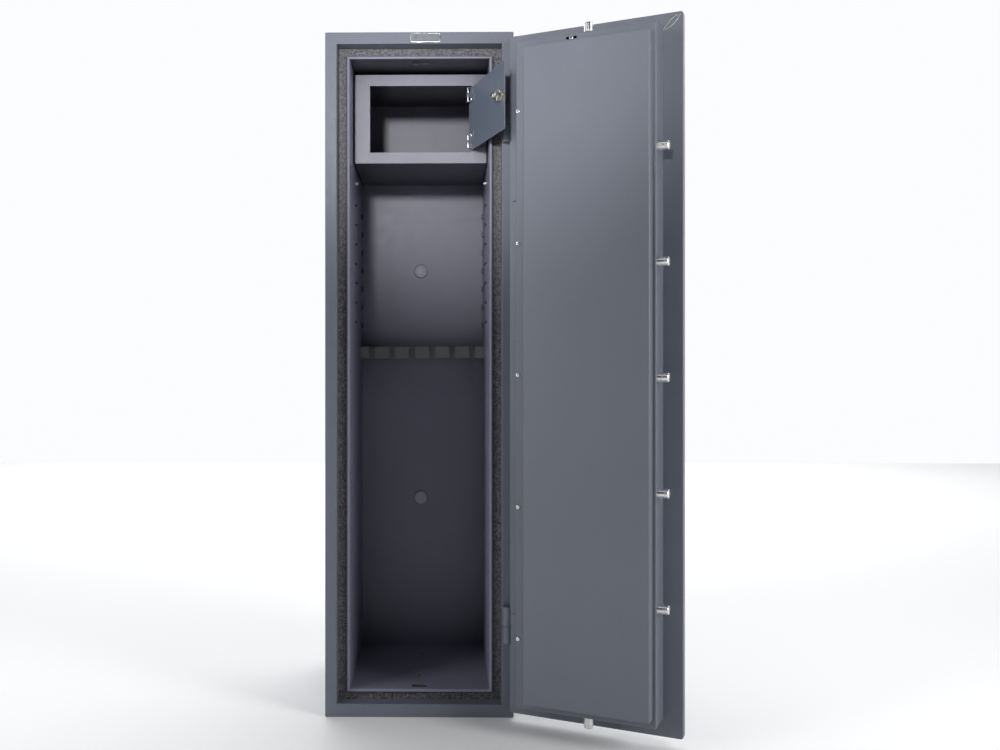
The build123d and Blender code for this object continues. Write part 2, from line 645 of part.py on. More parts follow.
def bolt_housing():
    """The folded box on the back of the leaf that the bolts come out of."""
    y = (LEAF_BACK - BORDER_SHEET, HOUSING_BACK)
    box = slab(HOUSING, y)
    box = fillet(edges_along_y(box), 3.5)
    box = fillet(edges_in_plane(box, HOUSING_BACK), 3.0)
    hollow = slab(grown(HOUSING, -HOUSING_SHEET), (y[0] - 1, HOUSING_BACK - HOUSING_SHEET))
    box -= hollow
    box -= slab(grown(COVER, -6.0), (THROUGH, HOUSING_BACK + 1))
    hole = BOLT_RADIUS + BOLT_CLEARANCE
    wall = (HOUSING[0] - 1, HOUSING[0] + HOUSING_SHEET + 1)
    box -= [rod("X", (BOLT_LINE, z), wall, hole) for z in BOLT_HEIGHTS]
    box -= [rod_bolt_hole(z, hole) for z in (HOUSING[2], HOUSING[3])]
    for place in SIDE_SCREW_PLACES:
        box -= rod("Y", place, (THROUGH, HOUSING_BACK + 1), COVER_SCREW_SHANK[0])
    return box - long_hole("Y", TOP_SCREW_PLACE, (THROUGH, HOUSING_BACK + 1), 26.0, 6.0, 0)


def inner_cover():
    """The folded lid over the boltwork."""
    y = (HOUSING_BACK, COVER_BACK)
    lid = fillet(edges_along_y(slab(COVER, y)), 5.0)
    lid = fillet(edges_in_plane(lid, COVER_BACK), 3.5)
    hollow = slab(grown(COVER, -COVER_SHEET), (y[0] - 1, COVER_BACK - COVER_SHEET))
    hollow = fillet(edges_along_y(hollow), 3.5)
    hollow = fillet(edges_in_plane(hollow, COVER_BACK - COVER_SHEET), 2.0)
    return lid - hollow


COVER_SCREW_SHANK = (2.5, 10.0)
SIDE_SCREW_PLACES = [(381.0, 217.0 + 300.0 * i) for i in range(5)]
TOP_SCREW_PLACE = (256.0, 1567.0)


def cover_screws():
    places = SIDE_SCREW_PLACES + [TOP_SCREW_PLACE]
    return [screw(1, place, HOUSING_BACK, (4.6, 2.8), COVER_SCREW_SHANK) for place in places]


def hinge_knuckles_upper():
    """Knuckles welded to the leaf, closed at the top, that turn on the pins."""
    knuckles = []
    for bottom in HINGE_BOTTOMS:
        span = upper_knuckle_span(bottom)
        knuckle = rod("Z", HINGE_AXIS, span, KNUCKLE_RADIUS)
        top_edge = [e for e in knuckle.edges() if abs(e.center().Z - span[1]) < 0.01]
        knuckle = fillet(ShapeList(top_edge), 1.5)
        bore = (span[0] - 1, bottom + KNUCKLE_LENGTH - 8.0)
        knuckles.append(knuckle - rod("Z", HINGE_AXIS, bore, HINGE_PIN_RADIUS + RUNNING_FIT))
    return knuckles


SIDE_STRIP_X = (408.0, 420.5)
SIDE_STRIP_BACK = 3.0
SIDE_STRIP_HEIGHTS = ((60.0, 255.0), (256.5, 896.0), (897.5, 1225.0), (1226.5, 1575.0))


def hinge_side_strips():
    """Four strips along the hinge side of the leaf, end to end."""
    strips = []
    for z in SIDE_STRIP_HEIGHTS:
        strip = block(SIDE_STRIP_X, (LEAF_BACK, SIDE_STRIP_BACK), z)
        strips.append(fillet(edges_in_plane(strip, SIDE_STRIP_BACK), 0.8))
    return strips


def mechanism_plate():
    plate = slab(grown(HOUSING, -HOUSING_SHEET), (FILL_BACK, MECHANISM_FACE))
    span = (FILL_BACK - 1, MECHANISM_FACE + 1)
    plate -= rod("Y", SPINDLE, span, SPINDLE_RADIUS + RUNNING_FIT)
    return plate - rod("Y", KEYHOLE, span, 5.0)


# ---- door: lock -----------------------------------------------------------------------------------
LOCK_CASE_X = (140.0, 200.0)
LOCK_CASE_Z = (650.0, 745.0)
LOCK_CASE_BACK = 66.0
LOCK_BOLT_X = (146.0, 170.0)
LOCK_BOLT_Y = (56.0, 64.0)
LOCK_BOLT_Z = (708.0, 748.0)
LOCK_WALL = 2.0


def lock_case():
    case = block(LOCK_CASE_X, (MECHANISM_FACE, LOCK_CASE_BACK), LOCK_CASE_Z)
    case = fillet(edges_along_y(case), 3.0)
    case -= block(shrunk(LOCK_CASE_X, LOCK_WALL), shrunk((MECHANISM_FACE, LOCK_CASE_BACK), LOCK_WALL),
                  shrunk(LOCK_CASE_Z, LOCK_WALL))
    mouth = (LOCK_CASE_Z[1] - LOCK_WALL - 1, LOCK_CASE_Z[1] + 1)
    case -= block(shrunk(LOCK_BOLT_X, -0.5), shrunk(LOCK_BOLT_Y, -0.5), mouth)
    return case - rod("Y", KEYHOLE, (MECHANISM_FACE - 1, MECHANISM_FACE + 3), 5.0)


def lock_levers():
    """The stack of levers that the key lifts, on their post."""
    levers = []
    start = MECHANISM_FACE + LOCK_WALL
    post = (155.0, 668.0)
    for i in range(6):
        y = (start + 1.0 + 3.5 * i, start + 3.0 + 3.5 * i)
        lever = block((146.0, 190.0), y, (660.0, 690.0))
        levers.append(lever - rod("Y", post, y, 3.0))
    levers.append(rod("Y", post, (start, LOCK_BOLT_Y[0] - 1), 3.0))
    return levers


def lock_bolt():
    return fillet(block(LOCK_BOLT_X, LOCK_BOLT_Y, LOCK_BOLT_Z).edges().filter_by(Axis.Z), 0.8)


ESCUTCHEON_THICKNESS = 3.0
COVER_PIVOT = (KEYHOLE[0], KEYHOLE[1] + 16.0)


def lock_escutcheon():
    x, z = KEYHOLE
    y = (LEAF_FRONT - ESCUTCHEON_THICKNESS, LEAF_FRONT)
    plate = rounded_slab((x - 18, x + 18, z - 35, z + 35), y, 8.0)
    plate = fillet(edges_in_plane(plate, y[0]), 1.0)
    plate -= rod("Y", (x, z), (y[0] - 1, y[1] + 1), 3.5)
    plate -= block((x - 1.6, x + 1.6), (y[0] - 1, y[1] + 1), (z - 12, z))
    return plate - rod("Y", COVER_PIVOT, (y[0] - 1, y[1] + 1), 2.0 + RUNNING_FIT)


def keyhole_cover():
    """A drop of sheet on a rivet, which falls over the keyhole."""
    px, pz = COVER_PIVOT
    back = LEAF_FRONT - ESCUTCHEON_THICKNESS - 0.3
    y = (back - 2.0, back)
    drop = rod("Y", COVER_PIVOT, y, 7.0) + rod("Y", (px, pz - 20.0), y, 11.0)
    drop += block((px - 7.0, px + 7.0), y, (pz - 20.0, pz))
    drop = fillet(edges_in_plane(drop, y[0]), 0.6)
    rivet = rod("Y", COVER_PIVOT, (y[0] - 1.5, LEAF_FRONT), 2.0)
    rivet += rod("Y", COVER_PIVOT, (y[0] - 1.5, y[0]), 4.0)
    return drop + rivet


# ---- door: handle ---------------------------------------------------------------------------------
ROSETTE_THICKNESS = 8.0
HANDLE_BACK = LEAF_FRONT - ROSETTE_THICKNESS - 0.5
HANDLE_FRONT = HANDLE_BACK - 24.0
HANDLE_REACH = 125.0


def handle_rosette():
    y = (LEAF_FRONT - ROSETTE_THICKNESS, LEAF_FRONT)
    disc = fillet(edges_in_plane(rod("Y", SPINDLE, y, 25.0), y[0]), 3.0)
    return disc - rod("Y", SPINDLE, (y[0] - 1, y[1] + 1), SPINDLE_RADIUS + RUNNING_FIT)


def handle_lever():
    """Hub and tapering lever; it points to the hinge side when the safe is locked."""
    x, z = SPINDLE
    hub = fillet(edges_in_plane(rod("Y", SPINDLE, (HANDLE_FRONT, HANDLE_BACK), 15.0), HANDLE_FRONT), 3.0)
    root = Plane(origin=(x, (HANDLE_FRONT * 2 + HANDLE_BACK) / 3, z), x_dir=(0, 1, 0), z_dir=(1, 0, 0))
    sections = []
    for along, wide, thick in ((0.0, 20.0, 13.0), (0.55, 17.0, 12.0), (1.0, 22.0, 14.0)):
        plane = root.offset(HANDLE_REACH * along)
        sections.append(plane * RectangleRounded(thick, wide, 5.0))
    lever = loft(Sketch() + sections)
    tip = [e for e in lever.edges() if abs(e.center().X - (x + HANDLE_REACH)) < 0.01]
    lever = fillet(ShapeList(tip), 3.0)
    return hub + lever - rod("Y", SPINDLE, (HANDLE_BACK - 14.0, HANDLE_BACK + 1), SPINDLE_RADIUS)


CAM_LAYER = (44.0, 50.0)


def handle_spindle():
    return rod("Y", SPINDLE, (HANDLE_BACK - 14.0, CAM_LAYER[1] + 1.5), SPINDLE_RADIUS)


def pin_place(angle):
    """A place on the cam disc's pin circle; the angle is seen from the front, from +X towards +Z."""
    turn = math.radians(angle)
    return (SPINDLE[0] + CAM_PIN_CIRCLE * math.cos(turn), SPINDLE[1] + CAM_PIN_CIRCLE * math.sin(turn))


CARRIER_PIN = pin_place(135.0)
TOP_PIN = pin_place(45.0)
BOTTOM_PIN = pin_place(225.0)


def cam_disc():
    disc = rod("Y", SPINDLE, CAM_LAYER, 26.0) - rod("Y", SPINDLE, CAM_LAYER, SPINDLE_RADIUS)
    return disc - [rod("Y", p, CAM_LAYER, CAM_PIN_RADIUS) for p in (CARRIER_PIN, TOP_PIN, BOTTOM_PIN)]


def cam_pins():
    pins = [rod("Y", CARRIER_PIN, (CAM_LAYER[0], CARRIER_LAYER[1] + 1), CAM_PIN_RADIUS)]
    pins += [rod("Y", p, (CAM_LAYER[0], ROD_LAYER[1] + 1), CAM_PIN_RADIUS) for p in (TOP_PIN, BOTTOM_PIN)]
    return pins


# ---- door: boltwork -------------------------------------------------------------------------------
BOLT_END = 110.0
STRIP_X = (84.0, 112.0)
STRIP_Z = (290.0, 1335.0)
PIN_SLOT_WIDE = 2 * CAM_PIN_RADIUS + 1.6
BOLT_SCREW_X = 98.0
ROD_HALF = 9.0


def carrier_strip():
    """The strip that joins the side bolts, with the arm to the cam and the tab for the lock."""
    strip = block(STRIP_X, CARRIER_LAYER, STRIP_Z)
    strip += block((STRIP_X[1], 168.0), CARRIER_LAYER, (835.0, 859.0))
    strip += block((STRIP_X[1], 144.0), CARRIER_LAYER, (750.0, 775.0))
    slot_z = (CARRIER_PIN[1] + SPINDLE[1] + CAM_PIN_CIRCLE) / 2
    slot_long = PIN_SLOT_WIDE + SPINDLE[1] + CAM_PIN_CIRCLE - CARRIER_PIN[1]
    span = (CARRIER_LAYER[0] - 1, CARRIER_LAYER[1] + 1)
    strip -= long_hole("Y", (CARRIER_PIN[0], slot_z), span, slot_long, PIN_SLOT_WIDE, 1)
    return strip - [rod("Y", (BOLT_SCREW_X, z), span, 3.0) for z in BOLT_HEIGHTS]


def side_bolts():
    """Five round bolts, milled flat at the inner end where the strip lies on them."""
    bolts = []
    for z in BOLT_HEIGHTS:
        bolt = rod("X", (BOLT_LINE, z), (BOLT_TIP, BOLT_END), BOLT_RADIUS)
        tip = [e for e in bolt.edges() if abs(e.center().X - BOLT_TIP) < 0.01]
        bolt = chamfer(ShapeList(tip), 1.5)
        bolt -= block((STRIP_X[0] - 1, BOLT_END + 1), (CARRIER_LAYER[0], THROUGH * 2), (z - 20, z + 20))
        bolt -= rod("Y", (BOLT_SCREW_X, z), (THROUGH, CARRIER_LAYER[0] + 1), 3.0)
        bolts.append(bolt)
    return bolts


def bolt_screws():
    depth = CARRIER_LAYER[1] - THROUGH
    return [screw(1, (BOLT_SCREW_X, z), CARRIER_LAYER[1], (5.0, 2.0), (3.0, depth)) for z in BOLT_HEIGHTS]


def rod_bolt(tip, end, flat_to):
    """A round bolt that stands upright, milled flat where its rod lies on it."""
    low, high = sorted((tip, end))
    bolt = rod("Z", (ROD_BOLT_X, BOLT_LINE), (low, high), BOLT_RADIUS)
    tip_edge = [e for e in bolt.edges() if abs(e.center().Z - tip) < 0.01]
    bolt = chamfer(ShapeList(tip_edge), 1.5)
    flat_z = sorted((end - math.copysign(1, tip - end), flat_to))
    return bolt - block((ROD_BOLT_X - 20, ROD_BOLT_X + 20), (0.0, ROD_LAYER[1]), flat_z)


TOP_FLAT = TOP_BOLT_TIP - ROD_BOLT_LENGTH + 31.0
BOTTOM_FLAT = BOTTOM_BOLT_TIP + ROD_BOLT_LENGTH - 31.0


def top_bolt():
    return rod_bolt(TOP_BOLT_TIP, TOP_BOLT_TIP - ROD_BOLT_LENGTH, TOP_FLAT)


def bottom_bolt():
    return rod_bolt(BOTTOM_BOLT_TIP, BOTTOM_BOLT_TIP + ROD_BOLT_LENGTH, BOTTOM_FLAT)


def pin_slot_along_x(pin, outermost):
    """The slot in a rod's arm: it lets the cam pin wander sideways while it lifts the rod."""
    middle = (pin[0] + outermost) / 2
    overall = PIN_SLOT_WIDE + abs(outermost - pin[0])
    span = (ROD_LAYER[0] - 1, ROD_LAYER[1] + 1)
    return long_hole("Y", (middle, pin[1]), span, overall, PIN_SLOT_WIDE, 0)


def top_rod_bar():
    arm_z = (TOP_PIN[1] - ROD_HALF, TOP_PIN[1] + ROD_HALF)
    bar = block((176.0, ROD_BOLT_X + ROD_HALF), ROD_LAYER, arm_z)
    bar += block((ROD_BOLT_X - ROD_HALF, ROD_BOLT_X + ROD_HALF), ROD_LAYER, (arm_z[0], TOP_FLAT))
    return bar - pin_slot_along_x(TOP_PIN, SPINDLE[0] + CAM_PIN_CIRCLE)


def bottom_rod_bar():
    """Foot at the cam, down beside it, across above the lock, and down to the bolt."""
    foot_z = (BOTTOM_PIN[1] - ROD_HALF, BOTTOM_PIN[1] + ROD_HALF)
    cross_z = (762.0, 780.0)
    bar = block((143.0, 168.0), ROD_LAYER, foot_z)
    bar += block((143.0, 161.0), ROD_LAYER, (cross_z[0], foot_z[1]))
    bar += block((143.0, ROD_BOLT_X + ROD_HALF), ROD_LAYER, cross_z)
    bar += block((ROD_BOLT_X - ROD_HALF, ROD_BOLT_X + ROD_HALF), ROD_LAYER, (BOTTOM_FLAT, cross_z[1]))
    return bar - pin_slot_along_x(BOTTOM_PIN, SPINDLE[0] - CAM_PIN_CIRCLE)


def bolt_guide_rail():
    """An upright rail just inside the housing wall that the side bolts slide in."""
    x = (HOUSING[0] + HOUSING_SHEET, 78.0)
    rail = block(x, (MECHANISM_FACE, 67.0), (LOWEST_BOLT - 35.0, BOLT_HEIGHTS[-1] + 35.0))
    hole = BOLT_RADIUS + BOLT_CLEARANCE
    for z in BOLT_HEIGHTS:
        rail -= rod("X", (BOLT_LINE, z), (x[0] - 1, x[1] + 1), hole)
        rail -= block((x[0] - 1, x[1] + 1), (BOLT_LINE, 68.0), (z - hole, z + hole))
    return rail


def rod_guides():
    """Blocks that guide the upright bolts, and clips that hold the rods."""
    guides = []
    centre = (ROD_BOLT_X, BOLT_LINE)
    for z in ((1548.0, 1572.0), (64.0, 88.0)):
        guide = block((ROD_BOLT_X - 18, ROD_BOLT_X + 18), (MECHANISM_FACE, 67.0), z)
        hole = BOLT_RADIUS + BOLT_CLEARANCE
        guide -= rod("Z", centre, (z[0] - 1, z[1] + 1), hole)
        guide -= block((ROD_BOLT_X - hole, ROD_BOLT_X + hole), (BOLT_LINE, 68.0), (z[0] - 1, z[1] + 1))
        guides.append(guide)
    for z in (300.0, 520.0, 1020.0, 1280.0):
        span = (z, z + 20.0)
        clip = block((ROD_BOLT_X - 15, ROD_BOLT_X + 15), (MECHANISM_FACE, ROD_LAYER[1] + 3), span)
        gap_x = (ROD_BOLT_X - ROD_HALF - 0.5, ROD_BOLT_X + ROD_HALF + 0.5)
        guides.append(clip - block(gap_x, shrunk(ROD_LAYER, -0.5), (z - 1, z + 21)))
    return guides


# ---- inner door -----------------------------------------------------------------------------------
TREASURY_DOOR_Y = (TREASURY_FRONT, TREASURY_FRONT + TREASURY_PLATE)
LOCK_BODY_RADIUS = 9.0
RIVET_RADIUS = 2.5
RIVET_X = 331.0
RIVET_OFFSET = 15.0
RIVET_HEAD = (4.5, 2.4)
KNUCKLE_HALF = 4.0
HINGE_LEAF_X = (313.0, 337.0)
HINGE_LEAF_SHEET = 1.6
HINGE_LEAF_INNER = 20.0
HINGE_LEAF_OUTER = 9.0
NOTCH_LEFT = 336.0
NOTCH_INNER = 22.0
NOTCH_OUTER = 40.0


def toward_middle(z):
    """+1 for the lower small hinge and -1 for the upper one: the way to the middle of the door."""
    middle = (TREASURY_DOOR[2] + TREASURY_DOOR[3]) / 2
    return math.copysign(1, middle - z)


def rivet_height(z):
    return z + toward_middle(z) * RIVET_OFFSET


def treasury_door_plate():
    """A flat plate, notched at its two hinge corners."""
    y = TREASURY_DOOR_Y
    x1 = TREASURY_DOOR[1]
    plate = slab(TREASURY_DOOR, y)
    for z in TREASURY_HINGE_HEIGHTS:
        inner = z + toward_middle(z) * NOTCH_INNER
        outer = z - toward_middle(z) * NOTCH_OUTER
        plate -= block((NOTCH_LEFT, x1 + 1), (y[0] - 1, y[1] + 1), sorted((inner, outer)))
        plate -= rod("Y", (RIVET_X, rivet_height(z)), (y[0] - 1, y[1] + 1), RIVET_RADIUS)
    return plate - rod("Y", TREASURY_LOCK, (y[0] - 1, y[1] + 1), LOCK_BODY_RADIUS)


def treasury_hinge_leaves():
    """Leaves on the back of the plate, each with one knuckle round its pin."""
    leaves = []
    bed = TREASURY_DOOR_Y[1]
    ax, ay = TREASURY_AXIS
    for z in TREASURY_HINGE_HEIGHTS:
        inner = z + toward_middle(z) * HINGE_LEAF_INNER
        outer = z - toward_middle(z) * HINGE_LEAF_OUTER
        leaf = block(HINGE_LEAF_X, (bed, bed + HINGE_LEAF_SHEET), sorted((inner, outer)))
        knuckle_z = (z - KNUCKLE_HALF, z + KNUCKLE_HALF)
        leaf += block((RIVET_X - 1, ax), (bed, bed + HINGE_LEAF_SHEET), knuckle_z)
        leaf += rod("Z", TREASURY_AXIS, knuckle_z, ay - bed)
        leaf -= rod("Z", TREASURY_AXIS, (z - 10, z + 10), TREASURY_PIN_RADIUS + RUNNING_FIT)
        leaf -= rod("Y", (RIVET_X, rivet_height(z)), (bed - 1, bed + 3), RIVET_RADIUS)
        leaves.append(leaf)
    return leaves


def treasury_hinge_rivets():
    rivets = []
    front, bed = TREASURY_DOOR_Y
    for z in TREASURY_HINGE_HEIGHTS:
        place = (RIVET_X, rivet_height(z))
        top = bed + HINGE_LEAF_SHEET
        head_top = top + RIVET_HEAD[1]
        head = rod("Y", place, (top, head_top), RIVET_HEAD[0])
        head = fillet(edges_in_plane(head, head_top), 2.0)
        rivets.append(head + rod("Y", place, (front, top), RIVET_RADIUS))
    return rivets


LOCK_NUT_Y = (TREASURY_DOOR_Y[1] + 2.0, TREASURY_DOOR_Y[1] + 12.5)
LOCK_NUT_RADIUS = 13.5
LOCK_WASHER_RADIUS = 14.5
LOCK_BODY_END = TREASURY_DOOR_Y[1] + 15.0
CAM_Y = (LOCK_BODY_END + 0.4, LOCK_BODY_END + 2.6)
CAM_REACH = 38.0
CAM_SCREW_RADIUS = 7.0
CAM_SCREW_HEIGHT = 5.0


def treasury_lock_body():
    """The cam lock's barrel with its round flange at the front, and the toothed washer behind."""
    front, bed = TREASURY_DOOR_Y
    x, z = TREASURY_LOCK
    barrel = rod("Y", TREASURY_LOCK, (front, LOCK_BODY_END), LOCK_BODY_RADIUS)
    flange = fillet(edges_in_plane(rod("Y", TREASURY_LOCK, (front - 3.0, front), 12.0), front - 3.0), 1.0)
    key_slot = block((x - 0.9, x + 0.9), (front - 4.0, front + 6.0), (z - 4.5, z + 4.5))
    washer = rod("Y", TREASURY_LOCK, (bed, LOCK_NUT_Y[0]), LOCK_WASHER_RADIUS)
    for i in range(12):
        notch = Rot(0, 30 * i, 0) * Pos(LOCK_WASHER_RADIUS, 0, 0) * Box(2.5, 10, 2.0)
        washer -= Pos(x, bed, z) * notch
    bore = rod("Y", TREASURY_LOCK, (front + 8.0, LOCK_BODY_END + 1), 3.0 + RUNNING_FIT)
    return [barrel + flange - key_slot - bore, washer - rod("Y", TREASURY_LOCK, (bed - 1, bed + 5),
                                                            LOCK_BODY_RADIUS)]


def treasury_lock_nut():
    x, z = TREASURY_LOCK
    hexagon = RegularPolygon(radius=LOCK_NUT_RADIUS, side_count=6, rotation=20)
    nut = Pos(x, LOCK_NUT_Y[1], z) * Rot(90, 0, 0) * extrude(hexagon, amount=LOCK_NUT_Y[1] - LOCK_NUT_Y[0])
    nut = chamfer(edges_in_plane(nut, LOCK_NUT_Y[1]), 1.0)
    return nut - rod("Y", TREASURY_LOCK, (LOCK_NUT_Y[0] - 1, LOCK_NUT_Y[1] + 1), LOCK_BODY_RADIUS)


def treasury_cam():
    """The cam, thrown past the free edge of the door, on its spindle."""
    x, z = TREASURY_LOCK
    far = x - CAM_REACH + 5.0
    cam = rod("Y", (x, z), CAM_Y, 7.0) + rod("Y", (far, z), CAM_Y, 5.0)
    cam += block((far, x), CAM_Y, (z - 5.0, z + 5.0))
    return cam + rod("Y", (x, z), (TREASURY_DOOR_Y[0] + 9.0, CAM_Y[1]), 3.0)


def treasury_cam_screw():
    x, z = TREASURY_LOCK
    top = CAM_Y[1] + CAM_SCREW_HEIGHT
    hexagon = RegularPolygon(radius=CAM_SCREW_RADIUS, side_count=6, rotation=10)
    head = Pos(x, top, z) * Rot(90, 0, 0) * extrude(hexagon, amount=CAM_SCREW_HEIGHT)
    return chamfer(edges_in_plane(head, top), 0.8)


# ---- write every node -----------------------------------------------------------------------------
CABINET_NODES = (outer_shell, rear_panel, front_frame, rebate_ring, mouth_lip, inner_liner,
                 bolt_keepers, barrel_rack, rack_screws, anchor_caps, hole_plugs, badge_plate,
                 treasury_shell, treasury_front, treasury_fixings, treasury_hinge_brackets,
                 treasury_hinge_pins, hinge_knuckles_lower, hinge_pins, hinge_washers)
DOOR_NODES = (door_plate, door_border, door_fill, bolt_housing, inner_cover, cover_screws,
              hinge_knuckles_upper, hinge_side_strips, mechanism_plate, lock_case, lock_levers,
              lock_bolt, lock_escutcheon, keyhole_cover, handle_rosette, handle_lever,
              handle_spindle, cam_disc, cam_pins, carrier_strip, side_bolts, bolt_screws,
              top_bolt, top_rod_bar, bottom_bolt, bottom_rod_bar, bolt_guide_rail, rod_guides)
TREASURY_DOOR_NODES = (treasury_door_plate, treasury_hinge_leaves, treasury_hinge_rivets,
                       treasury_lock_body, treasury_lock_nut, treasury_cam, treasury_cam_screw)

for group, placement in ((CABINET_NODES, ON_CABINET), (DOOR_NODES, ON_DOOR),
                         (TREASURY_DOOR_NODES, ON_TREASURY_DOOR)):
    for make in group:
        write(make.__name__, make(), placement)
for name, fill in fill_slabs().items():
    write(name, fill, ON_CABINET)
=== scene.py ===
import bpy
import bmesh
import json
import math
import random
from mathutils import Matrix, Vector


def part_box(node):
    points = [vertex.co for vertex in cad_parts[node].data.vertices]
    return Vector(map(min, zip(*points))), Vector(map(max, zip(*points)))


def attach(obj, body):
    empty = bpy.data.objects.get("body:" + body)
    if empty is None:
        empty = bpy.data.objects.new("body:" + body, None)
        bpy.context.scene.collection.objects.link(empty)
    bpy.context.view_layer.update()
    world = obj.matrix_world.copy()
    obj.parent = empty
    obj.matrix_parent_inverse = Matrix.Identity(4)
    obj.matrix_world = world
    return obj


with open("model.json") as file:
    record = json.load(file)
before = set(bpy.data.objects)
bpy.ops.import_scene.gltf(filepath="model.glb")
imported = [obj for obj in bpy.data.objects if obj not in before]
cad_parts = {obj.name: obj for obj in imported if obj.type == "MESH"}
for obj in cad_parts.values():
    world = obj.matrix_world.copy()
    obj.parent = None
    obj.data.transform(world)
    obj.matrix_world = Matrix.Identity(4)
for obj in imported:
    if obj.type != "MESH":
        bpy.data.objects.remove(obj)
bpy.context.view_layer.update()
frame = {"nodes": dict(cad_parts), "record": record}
NODES = frame["nodes"]


# ---- places read from the frame ---------------------------------------------------------------------
def joint(name):
    for entry in frame["record"]["behaviour"]["joints"]:
        if entry["name"] == name:
            return entry
    raise ValueError(name)


SHELL_LOW, SHELL_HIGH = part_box("outer_shell")
FRONT_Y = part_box("front_frame")[0].y
HEIGHT = SHELL_HIGH.z
DOOR_OPEN = math.radians(-joint("door_hinge")["range_deg"][0])
HINGE = Vector(joint("door_hinge")["pos_m"])
KNUCKLES_LOW, KNUCKLES_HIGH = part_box("hinge_knuckles_lower")
REAR_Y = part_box("rear_panel")[1].y

# ---- driving dimensions of the added pieces, in metres ----------------------------------------------
KNUCKLE_HALF = 0.0205
WELD_HALF = 0.019
WELD_OFFSET = 0.0088
WELD_RADIUS = 0.0018
REAR_WELD_INSET = 0.0035
REAR_WELD_HALF = 0.015
REAR_WELD_RADIUS = 0.0022
REAR_WELD_COUNT = 7

# The two ends of the corner weld, on the back of the leaf while the door is shut.
CORNER_START = Vector((-0.195, -0.2313, 1.610))
CORNER_END = Vector((-0.157, -0.2313, 1.577))
CORNER_BOW = 0.004
CORNER_BEAD = 0.0011
CORNER_STEPS = 16

RIM_RADIUS = 0.0011
RIM_FLATNESS = 0.5
RIM_CORNER = 0.003
RIM_CORNER_STEPS = 6

DOME_RISE = 0.0030
DOME_INSET = 0.0012
DOME_RINGS = 8
DOME_SIDES = 32

UP = Vector((0, 0, 1))
DOOR_TURN = Matrix.Rotation(DOOR_OPEN, 3, "Z")


def on_door(point):
    """Take a place on the shut door to where the open door holds it at rest."""
    pivot = Vector((HINGE.x, HINGE.y, 0))
    return DOOR_TURN @ (Vector(point) - pivot) + pivot


# ---- camera, lights, floor --------------------------------------------------------------------------
CAMERA_PLACE = (0.0530, -2.5500, 0.8329)
CAMERA_YAW = math.radians(0.7)
LENS = 35.02
SHIFT = (0.0704, -0.0068)
FLOOR_HALF = 6.0
FLOOR_COLOUR = (0.90, 0.90, 0.905, 1)
WALL_COLOUR = (0.97, 0.98, 1.0, 1)
# How far to the front the world's light starts to fade, where it is full, and its two strengths.
WALL_FADE = (-0.15, 0.45)
WALL_STRENGTH = (0.05, 1.0)


def make_camera():
    data = bpy.data.cameras.new("camera")
    data.lens = LENS
    data.sensor_width = 36.0
    data.shift_x, data.shift_y = SHIFT
    camera = bpy.data.objects.new("camera", data)
    camera.location = CAMERA_PLACE
    camera.rotation_euler = (math.pi / 2, 0, CAMERA_YAW)
    bpy.context.scene.collection.objects.link(camera)
    bpy.context.scene.camera = camera


def put_light(name, data, place, target):
    """Hang a light at a place, shining towards a target."""
    light = bpy.data.objects.new(name, data)
    light.location = place
    aim = Vector(target) - Vector(place)
    light.rotation_euler = aim.to_track_quat("-Z", "Y").to_euler()
    bpy.context.scene.collection.objects.link(light)


def area_light(name, place, target, size, power):
    data = bpy.data.lights.new(name, "AREA")
    data.shape = "RECTANGLE"
    data.size, data.size_y = size
    data.energy = power
    put_light(name, data, place, target)


def spot_light(name, place, target, cone, softness, size, power):
    data = bpy.data.lights.new(name, "SPOT")
    data.spot_size = cone
    data.spot_blend = softness
    data.shadow_soft_size = size
    data.energy = power
    put_light(name, data, place, target)


def make_world():
    """A white studio wall behind the object, dimming towards the front of the room."""
    world = bpy.data.worlds.new("studio")
    world.use_nodes = True
    tree = world.node_tree
    background = tree.nodes["Background"]
    background.inputs["Color"].default_value = WALL_COLOUR
    direction = tree.nodes.new("ShaderNodeTexCoord").outputs["Generated"]
    split = tree.nodes.new("ShaderNodeSeparateXYZ")
    tree.links.new(direction, split.inputs["Vector"])
    fade = tree.nodes.new("ShaderNodeMapRange")
    fade.inputs["From Min"].default_value = WALL_FADE[0]
    fade.inputs["From Max"].default_value = WALL_FADE[1]
    fade.inputs["To Min"].default_value = WALL_STRENGTH[0]
    fade.inputs["To Max"].default_value = WALL_STRENGTH[1]
    tree.links.new(split.outputs["Y"], fade.inputs["Value"])
    tree.links.new(fade.outputs["Result"], background.inputs["Strength"])
    bpy.context.scene.world = world


def make_light():
    make_world()
    spot_light("key_light", place=(-0.35, -2.7, 1.66), target=(0.16, 0.0, 1.68),
               cone=math.radians(33), softness=1.0, size=0.12, power=185)
    area_light("left_light", place=(-2.6, -1.9, 1.5), target=(0.2, 0.0, 0.9),
               size=(1.2, 1.8), power=45)
    area_light("right_light", place=(2.6, -1.9, 1.5), target=(0.2, 0.0, 0.9),
               size=(1.2, 1.8), power=55)
    area_light("top_light", place=(-0.2, -1.6, 2.9), target=(0.1, 0.0, 0.9),
               size=(1.2, 0.8), power=3)
    area_light("floor_light", place=(0.0, 4.8, 3.2), target=(0.0, 4.6, 0.0),
               size=(9.0, 6.0), power=260)
    bpy.context.scene.view_settings.view_transform = "Standard"


def make_floor():
    mesh = bpy.data.meshes.new("floor")
    half = FLOOR_HALF
    corners = [(-half, -half, 0), (half, -half, 0), (half, half, 0), (-half, half, 0)]
    mesh.from_pydata(corners, [], [(0, 1, 2, 3)])
    floor = bpy.data.objects.new("floor", mesh)
    bpy.context.scene.collection.objects.link(floor)
    material = bpy.data.materials.new("floor_white")
    material.use_nodes = True
    shader = material.node_tree.nodes["Principled BSDF"]
    shader.inputs["Base Color"].default_value = FLOOR_COLOUR
    shader.inputs["Roughness"].default_value = 0.6
    mesh.materials.append(material)


